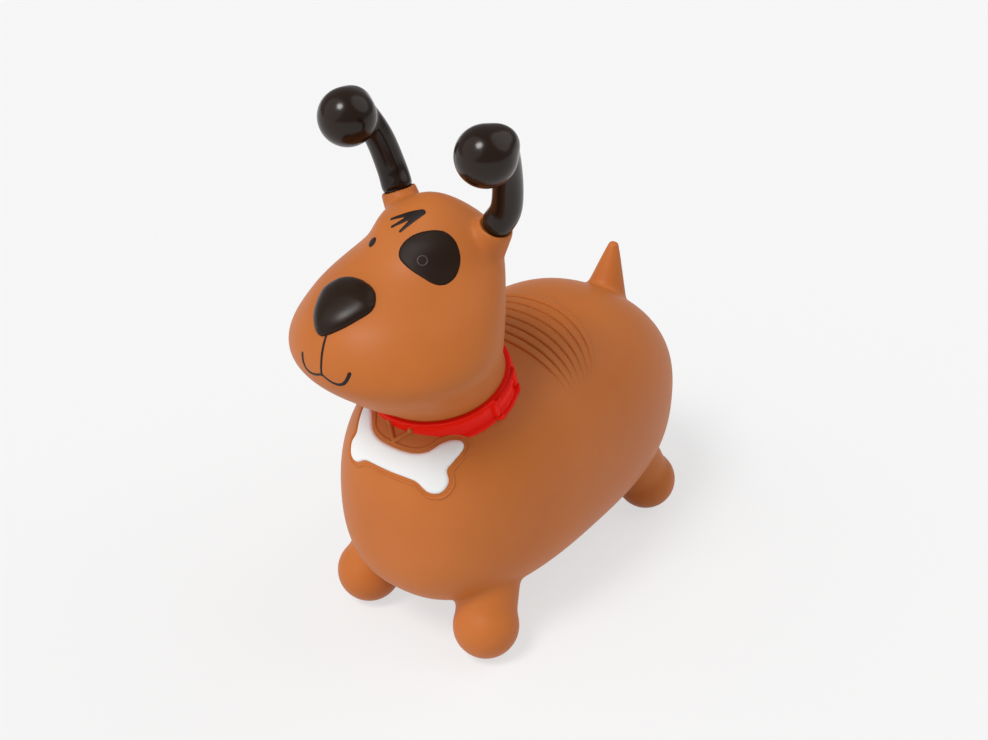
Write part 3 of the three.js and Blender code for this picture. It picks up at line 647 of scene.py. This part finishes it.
bone = dict(
    drop=48, slope=30, aside=3, rise=2.4, border=4.2, borderWidth=2.2,
    half=((19, 12), (32, 18), (40, 29), (47, 35), (54, 36), (57.5, 30), (54.5, 16.5), (52, 7.5), (56, -3),
          (52, -14.5), (42, -18), (31, -12.5), (22, -11.5)),
)
link = dict(width=26, height=15, tipDrop=34, bar=4.6, rise=2.4)


def boneOutline():
    left = [(-x, y) for x, y in reversed(bone["half"])]
    return polygonDistance(smoothClosed([(0, 10.5), *bone["half"], (0, -12), *left], count=96))


bonePlace = frontPlace(torsoTree, bone["aside"], collarLevel - bone["drop"], bone["slope"])
boneTag = pressed(
    "boneTag", bonePaint, bodyTree, bonePlace, boneOutline(),
    size=(124, 84), step=1.2, rise=bone["rise"], edge=3.5,
)
settle(boneTag, "bone_tag")
boneBorder = pressed(
    "boneBorder", tanVinyl, bodyTree, bonePlace, ringOf(boneOutline(), bone["border"], bone["borderWidth"]),
    size=(138, 98), step=0.9, rise=1.3, edge=1.1,
)
settle(boneBorder, None)
linkLine = [(-link["width"] / 2, link["height"]), (0, 0), (link["width"] / 2, link["height"])]
collarLink = pressed(
    "collarLink", tanVinyl, treeOf(dogBody, collarBand),
    frontPlace(torsoTree, 0, collarLevel - link["tipDrop"], bone["slope"]),
    strokeDistance(linkLine, link["bar"], link["bar"]),
    size=(36, 44), step=0.6, rise=link["rise"], edge=2.2,
)
settle(collarLink, "collar_link")
print("bone tag made")

# saddle ribs

saddle = dict(
    count=7, groove=0.2, rise=2.0, half=95, endShare=0.97, fade=26,
    frontY=-48, frontBow=7, rearY=52, tipY=-12, steps=80,
)


def ribY(x, part):
    front = saddle["frontY"] + saddle["frontBow"] * (x / saddle["half"]) ** 2
    rear = mix(saddle["tipY"], saddle["rearY"], math.sqrt(max(0, 1 - (x / saddle["half"]) ** 2)))
    return mix(front, rear, part)


def saddleRibs():
    bm = bmesh.new()
    section = [
        (0, -0.7), (0.03, 0.35), (0.09, 0.8), (0.2, 1), (0.4, 1),
        (0.6, 1), (0.8, 1), (0.91, 0.8), (0.97, 0.35), (1, -0.7),
    ]
    end = saddle["endShare"] * saddle["half"]
    for k in range(saddle["count"]):
        columns = []
        for i in range(saddle["steps"] + 1):
            x = end * math.sin(math.pi * (i / saddle["steps"] - 0.5))
            fade = min(1.0, (end - abs(x)) / saddle["fade"])
            row = []
            for across, height in section:
                share = mix(saddle["groove"] / 2, 1 - saddle["groove"] / 2, across)
                y = ribY(x, (k + share) / saddle["count"])
                hit, normal, _, _ = bodyTree.ray_cast(Vector((x, y, wellClear)), down)
                lift = height * saddle["rise"] * fade if height > 0 else height
                row.append(bm.verts.new(hit + normal * lift))
            columns.append([bm.edges.new(pair) for pair in zip(row, row[1:] + row[:1])])
        for a, b in zip(columns, columns[1:]):
            bmesh.ops.bridge_loops(bm, edges=a + b)
        bmesh.ops.holes_fill(bm, edges=columns[0] + columns[-1])
    bmesh.ops.recalc_face_normals(bm, faces=bm.faces)
    bmesh.ops.transform(bm, matrix=toRow, verts=bm.verts)
    return newObject("saddleRibs", bm, tanVinyl)


ribs = saddleRibs()
settle(ribs, None)
print("saddle ribs made")

# ears

def earLine(side):
    def point(rise, reach, curl):
        return Vector((-curl, -side * reach, rise))

    rise, reach, curl = ears["rise"] - (ears["droop"] if side < 0 else 0), ears["reach"], ears["curl"]
    return [
        point(0, 0, 0),
        point(0.25 * rise, -0.05 * reach, -0.1 * curl),
        point(0.69 * rise, 0.19 * reach, 0.47 * curl),
        point(1.08 * rise, 0.64 * reach, 0.88 * curl),
        point(rise, reach, curl),
    ]


def openSpline(points, t):
    padded = [points[0] * 2 - points[1], *points, points[-1] * 2 - points[-2]]
    place = min(t, 0.9999) * (len(points) - 1)
    i = int(place)
    w = place - i
    return hermite(*padded[i : i + 4], w)


def earRadius(t):
    start = ears["swellStart"]
    swell = max(0.0, (t - start) / (1 - start)) ** ears["swellPower"]
    plain = mix(ears["rootRadius"], ears["stemRadius"], min(1, t / start))
    return plain + (ears["knobRadius"] - ears["stemRadius"]) * swell


def softEar(node, side):
    line = earLine(side)
    capLevel, capRim = 0.985, 0.17  # past these the ball's two ends close the tube
    bm = bmesh.new()
    bmesh.ops.create_uvsphere(bm, u_segments=64, v_segments=90, radius=1)
    for v in bm.verts:  # a ball drawn out along the middle line
        t = ears["stemShare"] * min(1, max(0, 0.5 - 0.5 * v.co.z / capLevel))
        place = openSpline(line, t)
        ahead = openSpline(line, min(1, t + 0.01)) - openSpline(line, max(0, t - 0.01))
        flat = Vector((v.co.x, v.co.y, 0))
        reach = earRadius(t) * min(1, flat.length / capRim)
        v.co = along(place, ahead) @ (flat.normalized() * reach)
    for k in range(ears["swellBalls"]):  # the swelling and the knob
        t = 1 - k * ears["swellStep"]
        addBall(bm, openSpline(line, t), earRadius(t))
    seat = Matrix.Translation((0, 0, seatHeight))
    cap = bmesh.ops.create_uvsphere(bm, u_segments=64, v_segments=48, radius=ears["seatRadius"], matrix=seat)
    for v in cap["verts"]:  # only the cap below the rim stays round, the rest goes inside the stem
        if v.co.z > 0:
            v.co = (v.co.x * ears["tuck"], v.co.y * ears["tuck"], 0)
    bmesh.ops.transform(bm, matrix=toRow @ earRims[node], verts=bm.verts)
    obj = newObject(node.replace("ear_", "softEar_"), bm, earVinyl)
    melted(obj, ears["voxel"], ears["soften"])
    settle(obj, node, node)


for node, side in (("ear_left", 1), ("ear_right", -1)):
    softEar(node, side)
print("ears made")

# valve

for name in ("valve_seat", "valve_plug"):
    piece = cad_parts[name]
    piece.data.materials.clear()
    piece.data.materials.append(valveVinyl)
print("valve finished")

# floor, light and camera

studio = dict(
    azimuth=35.8, elevation=31.4, distance=1.497, focus=(0, -0.0376 + standY * mm, 0.2448),
    lens=1500 / 988 * 36, sensor=36,
    floorReach=30, floor=0.86, floorGlow=0.93, floorShare=0.68, ambient=0.29, backdrop=0.922,
    lamps=(
        ("key", (-0.06, -0.55, 0.83), 1.8, 20),
        ("side", (-0.40, -0.70, 0.58), 0.75, 80),
        ("rear", (0.50, 0.50, 0.70), 0.7, 60),
    ),
)


def grey(level):
    return (level, level, level, 1)


def paleFloor():
    bm = bmesh.new()
    bmesh.ops.create_grid(bm, x_segments=1, y_segments=1, size=studio["floorReach"])
    made = bpy.data.materials.new("paleFloor")
    made.use_nodes = True
    nodes, links = made.node_tree.nodes, made.node_tree.links
    nodes.clear()
    out = nodes.new("ShaderNodeOutputMaterial")
    matt = nodes.new("ShaderNodeBsdfDiffuse")
    matt.inputs["Color"].default_value = grey(studio["floor"])
    glow = nodes.new("ShaderNodeEmission")
    glow.inputs["Color"].default_value = grey(studio["floorGlow"])
    seen = nodes.new("ShaderNodeLightPath")
    either = nodes.new("ShaderNodeMath")
    either.operation = "MAXIMUM"
    links.new(seen.outputs["Is Camera Ray"], either.inputs[0])
    links.new(seen.outputs["Is Glossy Ray"], either.inputs[1])
    share = nodes.new("ShaderNodeMath")
    share.operation = "MULTIPLY"
    share.inputs[1].default_value = studio["floorShare"]
    links.new(either.outputs["Value"], share.inputs[0])
    blendNode = nodes.new("ShaderNodeMixShader")
    links.new(share.outputs["Value"], blendNode.inputs["Fac"])
    links.new(matt.outputs["BSDF"], blendNode.inputs[1])
    links.new(glow.outputs["Emission"], blendNode.inputs[2])
    links.new(blendNode.outputs["Shader"], out.inputs["Surface"])
    floor = newObject("floor", bm, made)


def softSun(name, towards, power, spread):
    lamp = bpy.data.lights.new(name, "SUN")
    lamp.energy = power
    lamp.angle = math.radians(spread)
    obj = bpy.data.objects.new(name, lamp)
    obj.rotation_euler = Vector(towards).to_track_quat("Z", "Y").to_euler()
    bpy.context.scene.collection.objects.link(obj)


def setCamera():
    a, e = math.radians(studio["azimuth"]), math.radians(studio["elevation"])
    back = Vector((math.sin(a) * math.cos(e), -math.cos(a) * math.cos(e), math.sin(e)))
    camera = bpy.data.cameras.new("photoCamera")
    camera.lens = studio["lens"]
    camera.sensor_width = studio["sensor"]
    obj = bpy.data.objects.new("photoCamera", camera)
    obj.location = Vector(studio["focus"]) + back * studio["distance"]
    obj.rotation_euler = back.to_track_quat("Z", "Y").to_euler()
    bpy.context.scene.collection.objects.link(obj)
    bpy.context.scene.camera = obj


def setWorld():
    world = bpy.data.worlds.new("studioWorld")
    world.use_nodes = True
    nodes, links = world.node_tree.nodes, world.node_tree.links
    ground = nodes["Background"]
    ground.inputs["Color"].default_value = grey(1)
    seen = nodes.new("ShaderNodeLightPath")
    level = nodes.new("ShaderNodeMapRange")  # the backdrop is paler than the light it gives
    level.inputs["To Min"].default_value = studio["ambient"]
    level.inputs["To Max"].default_value = studio["backdrop"]
    links.new(seen.outputs["Is Camera Ray"], level.inputs["Value"])
    links.new(level.outputs["Result"], ground.inputs["Strength"])
    bpy.context.scene.world = world


paleFloor()
setWorld()
for lamp in studio["lamps"]:
    softSun(*lamp)
setCamera()
bpy.context.scene.view_settings.view_transform = "Standard"
print("studio set")
